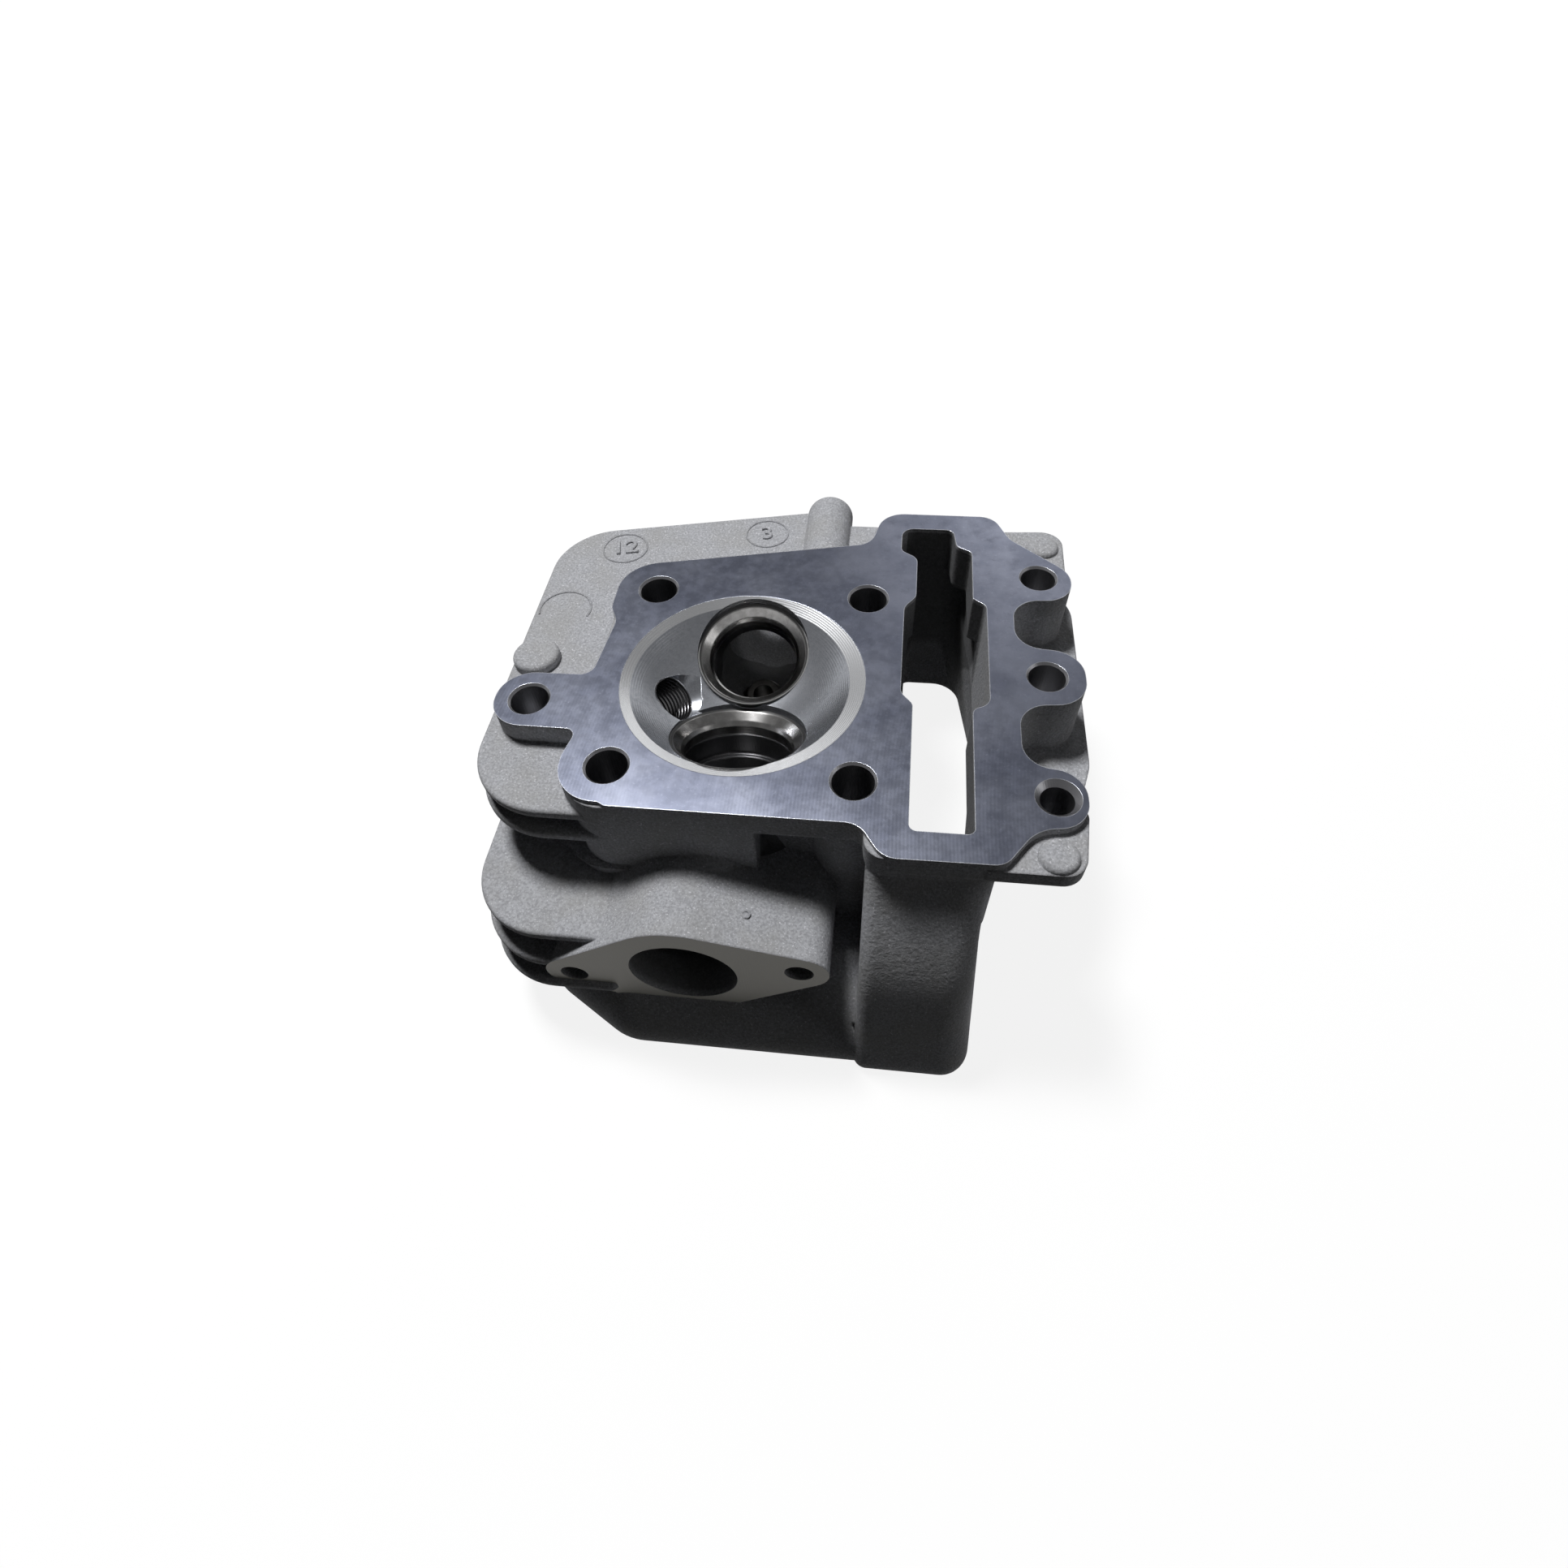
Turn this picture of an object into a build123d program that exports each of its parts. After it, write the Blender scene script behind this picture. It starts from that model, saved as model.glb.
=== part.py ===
from build123d import *
from math import cos, radians, sin
import os

# Bare cylinder head of a small air-cooled single with one inlet and one exhaust valve.
# The origin is the middle of the four stud holes on the gasket face. The gasket face is z = 0 and
# looks up, the chain tunnel is on +X, the inlet on -Y and the exhaust on +Y. All sizes are in mm.

# Overall
head_height = 60.0
plate_depth = 5.4
core_depth = 26.0
hole_break = 0.5

# Gasket face and its bolts
stud_span_x = 49.3
stud_span_y = 52.9
stud_hole_r = 4.25
stud_boss_r = 9.8
nut_seat_depth = 48.0
nut_pocket_r = 7.0
nut_seat_wall = 4.5
ear_hole = (-45.5, -10.0)
ear_hole_r = 4.05
ear_r = 7.5
ear_depth = 12.0
side_bolt_x = 63.6
side_bolt_y = (-27.2, 4.4, 36.1)
side_boss_r = 7.4
side_boss_depth = 18.0
side_hole_r = 3.9
side_thread_r = 3.3
side_thread_break = 1.2
ledge_depth = 14.0

# Combustion chamber
bore_r = 26.5
chamber_offset = (-0.8, -0.9)
dome_offset = (-1.6, -0.3)
dome_edge_r = 23.8
squish_depth = 1.5
dome_depth = 11.6

# Valves: the tilt is measured from the bore axis, the seat place is the middle of the ring's
# chamber side, and distances with "from valve" run from there along the stem
inlet_tilt = 24.0
inlet_seat = (-0.8, -11.5, -6.7)
inlet_seat_r = 14.6
exhaust_tilt = 19.0
exhaust_seat = (-0.8, 13.5, -6.5)
exhaust_seat_r = 12.9
seat_width = 3.1
seat_height = 5.0
seat_land = 0.9
seat_face_width = 1.6
press_clearance = 0.02
guide_r = 5.25
guide_bore_r = 2.5
guide_collar_r = 7.0
guide_collar_height = 2.0
guide_from_valve = 23.0
guide_end_from_valve = 54.5
spring_seat_from_valve = 47.0
spring_seat_r = 10.5

# Spark plug
plug_point = (-15.3, 0.2, -7.5)
plug_slope = 38.0
plug_thread_r = 4.9
plug_relief_r = 7.6
plug_relief_depth = 4.0
plug_reach = 17.0
plug_well_r = 10.0
plug_well_length = 60.0
plug_well_wall = 3.0
plug_slot_top = 22.0
plug_slot_floor = 40.0
plug_slot_right = -44.0

# Chain tunnel and the box round it
tunnel_left = 35.6
tunnel_right = 47.9
tunnel_front = -37.1
tunnel_back = 52.8
tunnel_bulge_left = 33.0
tunnel_bulge_right = 51.5
bulge_front = -4.4
bulge_back = 27.2
chain_box_left = 28.0
chain_box_right = 53.6
chain_box_front = -43.5
chain_box_back = 58.6
chain_room_left = 34.5

# Cover joint: the walls reach these lines at the lower face
cover_left = -47.0
cover_right = 52.4
cover_swell = 8.4
valve_front = -60.0
valve_back = 60.5
chain_front = -61.5
chain_back = 63.0
cover_corner_cut = 23.0
chain_wall = 4.8

# Inlet port and its flange
inlet_face_y = -54.5
inlet_port = (-8.4, -33.3)
inlet_port_r = 11.5
inlet_bend_r = 10.3
inlet_straight = 10.5
inlet_bolt_span = 50.0
inlet_flange_turn = 11.0
inlet_flange_r = 16.8
inlet_ear_r = 6.2
inlet_bolt_r = 3.0
inlet_bolt_depth = 14.0

# Exhaust port and its flange
exhaust_face_y = 58.0
exhaust_port = (-0.8, -29.0)
exhaust_port_r = 9.8
exhaust_straight = 13.0
exhaust_bolt_span = 42.0
exhaust_flange_r = 17.0
exhaust_flange_depth = 11.0
exhaust_ear_r = 7.0
exhaust_gasket_r = 14.0
exhaust_gasket_depth = 3.0
exhaust_stud_r = 3.4
exhaust_stud_depth = 14.0
port_wall = 3.5

# Cam bearings: half-round beds in the cover face
cam_y = 1.0
cam_right_r = 16.0
cam_left_r = 13.0
cam_left_x = -36.5
cam_left_width = 7.5
cam_boss_wall = 3.6

# Top plate over the fins, with its front, left and rear edges
top_plate_depth = 5.2
fin_thickness = 2.6
fin_left = -55.3
fin_root_x = -24.0
fin_rear_left = 52.5
fin_rear_slope = 0.205
fin_rear_reach = -33.0
fin_edge_round = 0.9
top_plate_front = -35.3
top_plate_back = 60.5
fin_pad = (-49.8, 6.6)
fin_pad_r = 5.3
fin_pad_height = 2.2
lug_pads = ((65.6, 49.6), (63.2, -39.4))
lug_pad_r = 3.9
lug_depth = 2.0
pad_round = 1.1
ridge_x = 12.8
ridge_r = 5.9
ridge_end = 67.7
# Fins under it: depth of the upper side and front edge
fins = ((11.5, -36.2), (18.3, -28.0), (25.0, -52.4), (33.5, -54.4), (41.5, -55.6))

# Rocker room and the bolts of the cover
room_floor = 43.0
cover_bolt_r = 2.5
cover_bolt_depth = 12.0
cover_boss_r = 6.5
rocker_bolts = ((-34.0, -45.0), (-34.0, 47.0))
chain_bolts = ((29.3, -55.0), (29.3, 55.0))

# The hollow in the front wall between the inlet port and the chain box
pocket_left = 6.0
pocket_back = -29.5
pocket_top = 6.0
pocket_floor = 38.0
pocket_port_wall = 1.4

stud_x = stud_span_x / 2
stud_y = stud_span_y / 2
studs = [(side_x * stud_x, side_y * stud_y) for side_x in (-1, 1) for side_y in (-1, 1)]
deck_left = -stud_x - stud_boss_r
deck_front = -stud_y - stud_boss_r
cover_face = -head_height
past = 1.0


def outline(corners):
    """A closed face from corners given as x, y and rounding radius."""
    points = [(x, y) for x, y, r in corners]
    line = FilletPolyline(*points, radius=[r for x, y, r in corners], close=True)
    return make_face(line)


def plate(corners, top, bottom):
    return extrude(Pos(0, 0, bottom) * outline(corners), amount=top - bottom)


def rod(start, direction, length, radius):
    place = Plane(origin=start, z_dir=direction)
    return place * Cylinder(radius, length, align=(Align.CENTER, Align.CENTER, Align.MIN))


def hole(x, y, top, depth, radius):
    return rod((x, y, top), (0, 0, -1), depth, radius)


def deck_hole(x, y, depth, radius, edge_break=hole_break):
    """A drilled hole in the gasket face with its mouth broken by a cone."""
    height = edge_break + past
    cone = Pos(x, y, past - height / 2) * Cone(radius, radius + height, height)
    return [hole(x, y, past, depth + past, radius), cone]


def turned(profile, start, axis):
    """A ring turned about an axis, from points given as radius and distance along the axis."""
    line = Polyline(*[(r, 0, h) for r, h in profile], close=True)
    return Plane(origin=start, z_dir=axis) * revolve(make_face(line), axis=Axis.Z)


def along(start, direction, distance):
    return Vector(*start) + Vector(*direction) * distance


def valve_direction(tilt, side):
    """Unit vector from the chamber to the cover along a valve stem."""
    return (0, side * sin(radians(tilt)), -cos(radians(tilt)))


inlet_axis = valve_direction(inlet_tilt, -1)
exhaust_axis = valve_direction(exhaust_tilt, 1)
plug_axis = (-cos(radians(plug_slope)), 0, -sin(radians(plug_slope)))
inlet_centre = (inlet_port[0], inlet_face_y, inlet_port[1])
exhaust_centre = (exhaust_port[0], exhaust_face_y, exhaust_port[1])
inlet_place = Plane(origin=inlet_centre, x_dir=(1, 0, 0), z_dir=(0, -1, 0))
exhaust_place = Plane(origin=exhaust_centre, x_dir=(-1, 0, 0), z_dir=(0, 1, 0))


def deck_corners():
    """The gasket face, walked clockwise from the foot of the left ear."""
    ear_x, ear_y = ear_hole
    front_bolt, middle_bolt, rear_bolt = side_bolt_y
    lobe = side_bolt_x + side_boss_r
    scallop_x = side_bolt_x - side_boss_r + 1.2
    return [
        (ear_x - ear_r, ear_y - ear_r, ear_r - 0.2),
        (ear_x - ear_r, ear_y + ear_r, ear_r - 0.2),
        (deck_left + 0.6, ear_y + ear_r + 0.4, 3),
        (deck_left + 2.2, 15.3, 5),
        (deck_left, 19.5, 5),
        (deck_left, stud_y + stud_boss_r - 1.9, stud_boss_r),
        (chain_box_left - 3.8, 46.3, 5),
        (chain_box_left - 1.0, chain_box_back, 6.5),
        (chain_box_right + 0.2, chain_box_back, 5),
        (57.6, 50.0, 6),
        (lobe, rear_bolt + 2.2, side_boss_r - 0.4),
        (lobe, rear_bolt - side_boss_r, side_boss_r - 1),
        (scallop_x, rear_bolt - side_boss_r - 0.8, 6),
        (scallop_x, middle_bolt + side_boss_r + 1.4, 6),
        (lobe + 0.6, middle_bolt + side_boss_r, side_boss_r - 0.4),
        (lobe + 0.6, middle_bolt - side_boss_r, side_boss_r - 0.4),
        (scallop_x, middle_bolt - side_boss_r - 1.2, 6),
        (scallop_x, front_bolt + side_boss_r - 0.4, 6),
        (lobe - 1.8, front_bolt + side_boss_r - 0.8, side_boss_r - 1),
        (lobe - 1.8, front_bolt - side_boss_r + 0.4, side_boss_r - 1),
        (59.5, front_bolt - side_boss_r, 8),
        (chain_box_right - 0.4, chain_box_front + 0.2, 4),
        (chain_box_left + 3.0, chain_box_front, 5),
        (chain_box_left - 1.8, deck_front, 5),
        (-22.8, deck_front, 0.6),
        (-24.4, deck_front + 0.8, 0.6),
        (deck_left, deck_front + 0.8, stud_boss_r - 0.6),
        (deck_left, -24.5, 5),
        (deck_left + 1.5, ear_y - ear_r - 0.1, 2),
    ]


def core_corners():
    """The part of the gasket face that runs down the walls: no ear and no side bosses."""
    return [
        (deck_left + 1, deck_front, 9),
        (deck_left + 1, stud_y + stud_boss_r - 1.9, stud_boss_r),
        (chain_box_left - 3.8, 46.3, 5),
        (chain_box_left - 1.0, chain_box_back - 0.4, 6.5),
        (chain_box_right - 0.6, chain_box_back - 0.4, 5),
        (57.0, 45.0, 6),
        (57.0, -20.0, 8),
        (chain_box_right - 0.6, -36.0, 8),
        (chain_box_right - 0.6, chain_box_front + 0.4, 4),
        (chain_box_left, chain_box_front + 0.4, 4),
        (chain_box_left - 1.0, deck_front, 2),
    ]


def tunnel_corners():
    """The chain tunnel where it breaks through the gasket face."""
    return [
        (31.7, tunnel_back, 3),
        (tunnel_right - 3.8, tunnel_back, 2),
        (tunnel_right - 3.0, 46.6, 2),
        (tunnel_right + 0.6, 44.6, 1.5),
        (tunnel_right + 0.6, bulge_back + 0.8, 0.5),
        (tunnel_bulge_right, bulge_back - 1.4, 2),
        (tunnel_bulge_right, bulge_front, 3),
        (tunnel_right, bulge_front - 1.6, 2),
        (tunnel_right, tunnel_front, 1.5),
        (tunnel_left, tunnel_front, 1.5),
        (tunnel_left, bulge_front - 1.0, 2),
        (tunnel_bulge_left, bulge_front + 2.0, 3),
        (tunnel_bulge_left, bulge_back - 3.0, 4),
        (tunnel_left, bulge_back + 0.6, 3),
        (tunnel_left, 41.6, 3),
        (31.7, 44.2, 2),
    ]


def chain_level(depth, left, front, back, side, swell, round_r):
    """Level outline of the chain box or its room, bulging to the right round the sprocket."""
    corners = [
        (left, front, 3),
        (side, front, round_r),
        (side + 0.7 * swell, -10, 20),
        (side + swell, 8, 20),
        (side + swell, 26, 20),
        (side + 0.3 * swell, back, round_r),
        (left, back, 3),
    ]
    return Pos(0, 0, -depth) * outline(corners)


def chain_box():
    """The tall box over the timing chain: its front swells out below the gasket face."""
    levels = (
        (7, chain_box_front + 0.5, chain_box_back - 0.5, chain_box_right - 1.2, 2.0),
        (11, chain_box_front - 1.5, chain_box_back, chain_box_right - 1.6, 2.4),
        (18, chain_box_front - 5.7, chain_box_back + 0.8, chain_box_right - 2.4, 3.2),
        (26, chain_box_front - 10.1, chain_box_back + 1.6, chain_box_right - 2.6, 4.4),
        (38, chain_box_front - 14.0, chain_box_back + 2.8, chain_box_right - 2.4, 6.4),
        (head_height - 8, chain_front + 0.6, chain_back - 0.6, cover_right - 0.2, cover_swell - 0.5),
        (head_height, chain_front, chain_back, cover_right, cover_swell),
    )
    return loft([chain_level(depth, chain_box_left, front, back, side, swell, 6)
                 for depth, front, back, side, swell in levels])


def chain_room():
    """The room for the chain under the tunnel mouth, wider round the cam sprocket."""
    top = chain_level(12, chain_room_left, tunnel_front, tunnel_back, tunnel_right, 2.6, 3)
    shoulder = chain_level(26, chain_room_left, tunnel_front - 12, tunnel_back + 2, tunnel_right - 1, 4.5, 5)
    front = chain_front + 1.5 * chain_wall
    mouth = chain_level(head_height + past, chain_room_left, front, chain_back - chain_wall,
                        cover_right - 0.75 * chain_wall, cover_swell - 0.8, 8)
    return [loft([top, shoulder], ruled=True), loft([shoulder, mouth], ruled=True)]


def box_level(depth, left, right, front, back, round_r):
    corners = [(left, front, round_r), (right, front, 2), (right, back, 2), (left, back, round_r)]
    return Pos(0, 0, -depth) * outline(corners)


def rocker_level(depth, left, front, back, cut, round_r):
    """Level outline of the rocker box, with its two left corners cut off."""
    right = chain_box_left + 3
    corners = [
        (left, front + 0.6 * cut, round_r),
        (left + cut, front, round_r),
        (right, front, 2),
        (right, back, 2),
        (left + cut, back, round_r),
        (left, back - 0.6 * cut, round_r),
    ]
    return Pos(0, 0, -depth) * outline(corners)


def rocker_box():
    """The box round the valve springs: it swells out to the cover joint in a soft shoulder."""
    levels = (
        (core_depth - 4, deck_left - 4, deck_front - 1, stud_y + 14, 9, 8),
        (head_height - 26, deck_left - 5, deck_front - 4, stud_y + 16.5, 12, 9),
        (head_height - 16, cover_left + 4, valve_front + 8, valve_back - 9, 18, 12),
        (head_height - 8, cover_left + 0.5, valve_front + 0.8, valve_back - 0.8, cover_corner_cut, 14),
        (head_height, cover_left, valve_front, valve_back, cover_corner_cut, 14),
    )
    return loft([rocker_level(*level) for level in levels])


def rocker_room():
    right = chain_box_left - 4
    floor = box_level(room_floor, -34, right, -36, 38, 6)
    return loft([floor, box_level(head_height + past, -39, right, -50, 52, 6)], ruled=True)


def soft_edges(blank, top, bottom, radius):
    """Round the outer rims of a level plate, but not its upright edges."""
    middle = (top + bottom) / 2
    rims = [edge for edge in blank.edges() if abs(edge.center().Z - middle) > (top - bottom) / 4]
    return fillet(rims, radius)


def top_plate():
    """The wide level plate over the fins, with a slanting rear edge."""
    rear_at_ridge = fin_rear_left + (ridge_x - fin_left) * fin_rear_slope
    corners = [
        (fin_left, top_plate_front, 17),
        (fin_left, fin_rear_left, 16),
        (ridge_x, rear_at_ridge, 1.5),
        (ridge_x, top_plate_back, 1.5),
        (chain_box_left, top_plate_back, 1.5),
        (chain_box_left, stud_y, 1.5),
        (fin_root_x, stud_y, 1.5),
        (fin_root_x, top_plate_front, 1.5),
    ]
    bottom = -top_plate_depth - fin_thickness
    return soft_edges(plate(corners, -top_plate_depth, bottom), -top_plate_depth, bottom, fin_edge_round)


def pad(x, y, top, height, radius):
    """A round raised pad with a rolled edge."""
    disc = hole(x, y, top, height + past, radius)
    return fillet(disc.edges().sort_by(Axis.Z)[-1], pad_round)


def fin(depth, front):
    """One fin: it wraps the left side and ends short of the exhaust flange at the rear."""
    corners = [
        (fin_left, front, 17),
        (fin_left, fin_rear_left, 13),
        (fin_rear_reach, fin_rear_left + (fin_rear_reach - fin_left) * fin_rear_slope, 2),
        (fin_rear_reach, stud_y, 2),
        (fin_root_x, stud_y - 8, 2),
        (fin_root_x, front, 2),
    ]
    bottom = -depth - fin_thickness
    return soft_edges(plate(corners, -depth, bottom), -depth, bottom, fin_edge_round)


def flange_hull(big_r, small_r, half_span):
    """Two-bolt flange: a round middle with tapering wings, drawn about its own centre."""
    ends = [Pos(side * half_span, 0) * Circle(small_r) for side in (-1, 1)]
    return make_hull((Circle(big_r) + ends).edges())


def inlet_body():
    """The inlet flange carried straight back to the wall, with a web under its left wing."""
    shape = Rot(0, 0, inlet_flange_turn) * flange_hull(inlet_flange_r, inlet_ear_r, inlet_bolt_span / 2)
    body = extrude(inlet_place * shape, amount=inlet_face_y - pocket_back)
    web = inlet_place * Pos(-4.5, -9.5) * Rectangle(25, 16)
    return body + extrude(web, amount=-20)


def inlet_bolts():
    turn = radians(inlet_flange_turn)
    reach = inlet_bolt_span / 2
    return [(inlet_port[0] + side * reach * cos(turn), inlet_port[1] + side * reach * sin(turn))
            for side in (-1, 1)]


def exhaust_body():
    """The exhaust flange on its neck."""
    shape = exhaust_place * flange_hull(exhaust_flange_r, exhaust_ear_r, exhaust_bolt_span / 2)
    neck = exhaust_place * Circle(exhaust_flange_r - 1)
    return extrude(shape, amount=-exhaust_flange_depth) + extrude(neck, amount=stud_y - exhaust_face_y)


def port_path(seat, axis, port, face_y, side, straight):
    """Centre line of a port: down the valve axis, a bend, a slant and a square exit."""
    start = along(seat, axis, seat_height - 0.5)
    bend = along(seat, axis, seat_height + 7)
    square = Vector(port[0], face_y - side * straight, port[1])
    end = Vector(port[0], face_y + side * past, port[1])
    return FilletPolyline(start, bend, square, end, radius=[11, 13])


def port_tube(path, radius):
    section = Plane(origin=path @ 0, z_dir=path % 0) * Circle(radius)
    return sweep(section, path=path)


def side_lugs():
    """Thin corner lugs in front of the first side bolt and behind the last."""
    right = side_bolt_x + side_boss_r
    front = [
        (50.0, chain_box_front, 0.5),
        (right - 3.0, chain_box_front, 4.5),
        (right - 1.2, side_bolt_y[0], 3),
        (50.0, side_bolt_y[0], 0.5),
    ]
    rear = [
        (50.0, side_bolt_y[-1], 0.5),
        (right - 0.6, side_bolt_y[-1], 3),
        (right - 0.3, 56.2, 5),
        (50.0, 55.0, 0.5),
    ]
    return [plate(corners, -lug_depth, -plate_depth) for corners in (front, rear)]


def side_bosses():
    """The right edge of the gasket face carried down, so that each bolt boss is one of its lobes."""
    front = side_bolt_y[0] - side_boss_r - 1
    back = side_bolt_y[-1] + side_boss_r + 1
    strip = Pos(side_bolt_x + 1, (front + back) / 2) * Rectangle(20, back - front)
    return plate(deck_corners(), -past, -side_boss_depth) & extrude(strip, amount=-side_boss_depth)


def side_ledge():
    """The lower shelf that joins the side bosses."""
    right = side_bolt_x + side_boss_r
    corners = [
        (50.0, -24.0, 1),
        (right - 1.0, -24.0, 7),
        (right + 3.4, -8.0, 12),
        (right + 3.4, 42.0, 12),
        (right - 2.0, 50.0, 6),
        (50.0, 50.0, 1),
    ]
    return plate(corners, -ledge_depth, -side_boss_depth)


def rear_ridge():
    """Half-round ridge that runs from the gasket face to the rear edge and past it."""
    start = stud_y + 8
    barrel = rod((ridge_x, start, -ridge_r - 0.8), (0, 1, 0), ridge_end - start, ridge_r)
    barrel = fillet(barrel.edges().filter_by(GeomType.CIRCLE).sort_by(Axis.Y)[-1], 2.6)
    foot = Box(2 * ridge_r, top_plate_back - start, 10)
    return barrel + Pos(ridge_x, (start + top_plate_back) / 2, -ridge_r - 5.8) * foot


def outer_body():
    """Everything that the mould leaves outside, before the rooms and ports are cut."""
    body = plate(core_corners(), -past, -core_depth) + rocker_box() - front_pocket()
    pad_top = -top_plate_depth + fin_pad_height
    plug_start = along(plug_point, plug_axis, plug_reach - 3)
    plug_boss = rod(plug_start, plug_axis, 14, plug_well_r + plug_well_wall)
    pieces = [plate(deck_corners(), 0, -plate_depth), hole(*ear_hole, -past, ear_depth, ear_r)]
    pieces += [*side_lugs(), side_bosses(), side_ledge(), chain_box(), top_plate()]
    pieces += [fin(*sizes) for sizes in fins]
    pieces += [pad(*fin_pad, pad_top, fin_pad_height, fin_pad_r)]
    pieces += [pad(x, y, pad_round - lug_depth, pad_round, lug_pad_r) for x, y in lug_pads]
    pieces += [rear_ridge(), inlet_body(), exhaust_body(), plug_boss]
    return body + pieces


def inlet_wall(inlet_line):
    """The wall of the inlet port, which bulges into the hollow beside it."""
    behind_face = Pos(0, inlet_face_y / 2, -core_depth) * Box(100, -inlet_face_y - 2 * port_wall, 40)
    return port_tube(inlet_line, inlet_bend_r + pocket_port_wall) & behind_face


def front_pocket():
    """The space cut out for the hollow, with the stud's boss left standing in it."""
    width = chain_box_left - pocket_left
    height = pocket_floor - pocket_top
    reach = pocket_back - valve_front
    middle = (pocket_left + width / 2, pocket_back - reach / 2, -pocket_top - height / 2)
    stud_boss = hole(stud_x, -stud_y, 0, head_height, stud_hole_r + 4)
    return Pos(*middle) * Box(width, reach, height) - [stud_boss]


def chamber():
    """Squish band as a shallow cone, then a dome cut from a ball."""
    height = dome_depth - squish_depth
    ball_r = (dome_edge_r ** 2 + height ** 2) / (2 * height)
    rim = Pos(*chamber_offset, 0) * Circle(bore_r)
    edge = Pos(*dome_offset, -squish_depth) * Circle(dome_edge_r)
    band = loft([rim, edge], ruled=True)
    ball = Pos(*dome_offset, -dome_depth + ball_r) * Sphere(ball_r)
    below = Pos(*dome_offset, -squish_depth - dome_depth) * Box(3 * bore_r, 3 * bore_r, 2 * dome_depth)
    return band + (ball & below)


def valve_cuts(seat, axis, seat_r):
    """Ring pocket, the relief in front of it, throat, guide bore and spring seat, all on one axis."""
    back = tuple(-c for c in axis)
    below_face = Pos(0, 0, -20) * Box(200, 200, 40)
    return [
        rod(seat, axis, seat_height, seat_r + press_clearance),
        rod(seat, back, 12, seat_r + press_clearance) & below_face,
        rod(along(seat, axis, seat_height - past), axis, 6, seat_r - seat_width),
        rod(along(seat, axis, guide_from_valve - 4), axis, 40, guide_r + press_clearance),
        rod(along(seat, axis, spring_seat_from_valve), axis, 14, spring_seat_r + 0.5),
    ]


def plug_cuts():
    """Threaded hole, its cone in the chamber wall, the wide well outside and its slot in the fins."""
    back = along(plug_point, plug_axis, -plug_reach / 3)
    cone_place = Plane(origin=along(plug_point, plug_axis, 0.6), z_dir=plug_axis)
    cone = cone_place * Cone(plug_relief_r, plug_thread_r, plug_relief_depth)
    well = rod(along(plug_point, plug_axis, plug_reach), plug_axis, plug_well_length, plug_well_r)
    slot = Box(2 * (plug_slot_right - fin_left), 2 * plug_well_r, plug_slot_floor - plug_slot_top)
    slot = Pos(fin_left, plug_point[1], -(plug_slot_top + plug_slot_floor) / 2) * slot
    return [rod(back, plug_axis, 2 * plug_reach, plug_thread_r), cone, well, slot]


def inside_bosses(inlet_line, exhaust_line):
    """What stands in the rocker room: port walls, spring seats, nut seats and cover bolt bosses."""
    bosses = [port_tube(inlet_line, inlet_bend_r + port_wall)]
    bosses.append(port_tube(exhaust_line, exhaust_port_r + port_wall))
    for seat, axis in ((inlet_seat, inlet_axis), (exhaust_seat, exhaust_axis)):
        start = along(seat, axis, guide_from_valve)
        bosses.append(rod(start, axis, spring_seat_from_valve - guide_from_valve, spring_seat_r + 2.5))
    root = room_floor - 5
    bosses += [hole(x, y, -root, nut_seat_depth - root, stud_hole_r + nut_seat_wall) for x, y in studs]
    bosses += [hole(x, y, -root, head_height - root, cover_boss_r) for x, y in rocker_bolts]
    cam_start = (cam_left_x - 3, cam_y, cover_face)
    bosses.append(rod(cam_start, (1, 0, 0), cam_left_width + 3, cam_left_r + cam_boss_wall))
    post_height = head_height - root
    post_middle = (cam_left_x + cam_left_width / 2, cam_y, -root - post_height / 2)
    bosses.append(Pos(*post_middle) * Box(cam_left_width, 2 * cam_left_r, post_height))
    room = Pos(-6, 1, -root - post_height / 2) * Box(74, 100, post_height)
    return [boss & room for boss in bosses]


def bolt_cuts():
    """Every drilled and tapped hole in the casting."""
    cuts = []
    for x, y in studs:
        cuts += deck_hole(x, y, head_height + past, stud_hole_r)
        cuts.append(hole(x, y, -nut_seat_depth, head_height - nut_seat_depth + past, nut_pocket_r))
    cuts += deck_hole(*ear_hole, ear_depth + past, ear_hole_r)
    cuts += deck_hole(side_bolt_x, side_bolt_y[0], side_boss_depth - 2, side_thread_r, side_thread_break)
    for y in side_bolt_y[1:]:
        cuts += deck_hole(side_bolt_x, y, side_boss_depth + past, side_hole_r)
    cuts += [rod((x, y, cover_face - past), (0, 0, 1), cover_bolt_depth + past, cover_bolt_r)
             for x, y in rocker_bolts + chain_bolts]
    cuts += [rod((x, inlet_face_y - past, z), (0, 1, 0), inlet_bolt_depth + past, inlet_bolt_r)
             for x, z in inlet_bolts()]
    cuts += [rod((exhaust_port[0] + side * exhaust_bolt_span / 2, exhaust_face_y + past, exhaust_port[1]),
                 (0, -1, 0), exhaust_stud_depth + past, exhaust_stud_r) for side in (-1, 1)]
    return cuts


def cam_beds():
    right = rod((chain_box_left - 5, cam_y, cover_face), (1, 0, 0), 14, cam_right_r)
    return [right, rod((cam_left_x, cam_y, cover_face), (1, 0, 0), cam_left_width + past, cam_left_r)]


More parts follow.
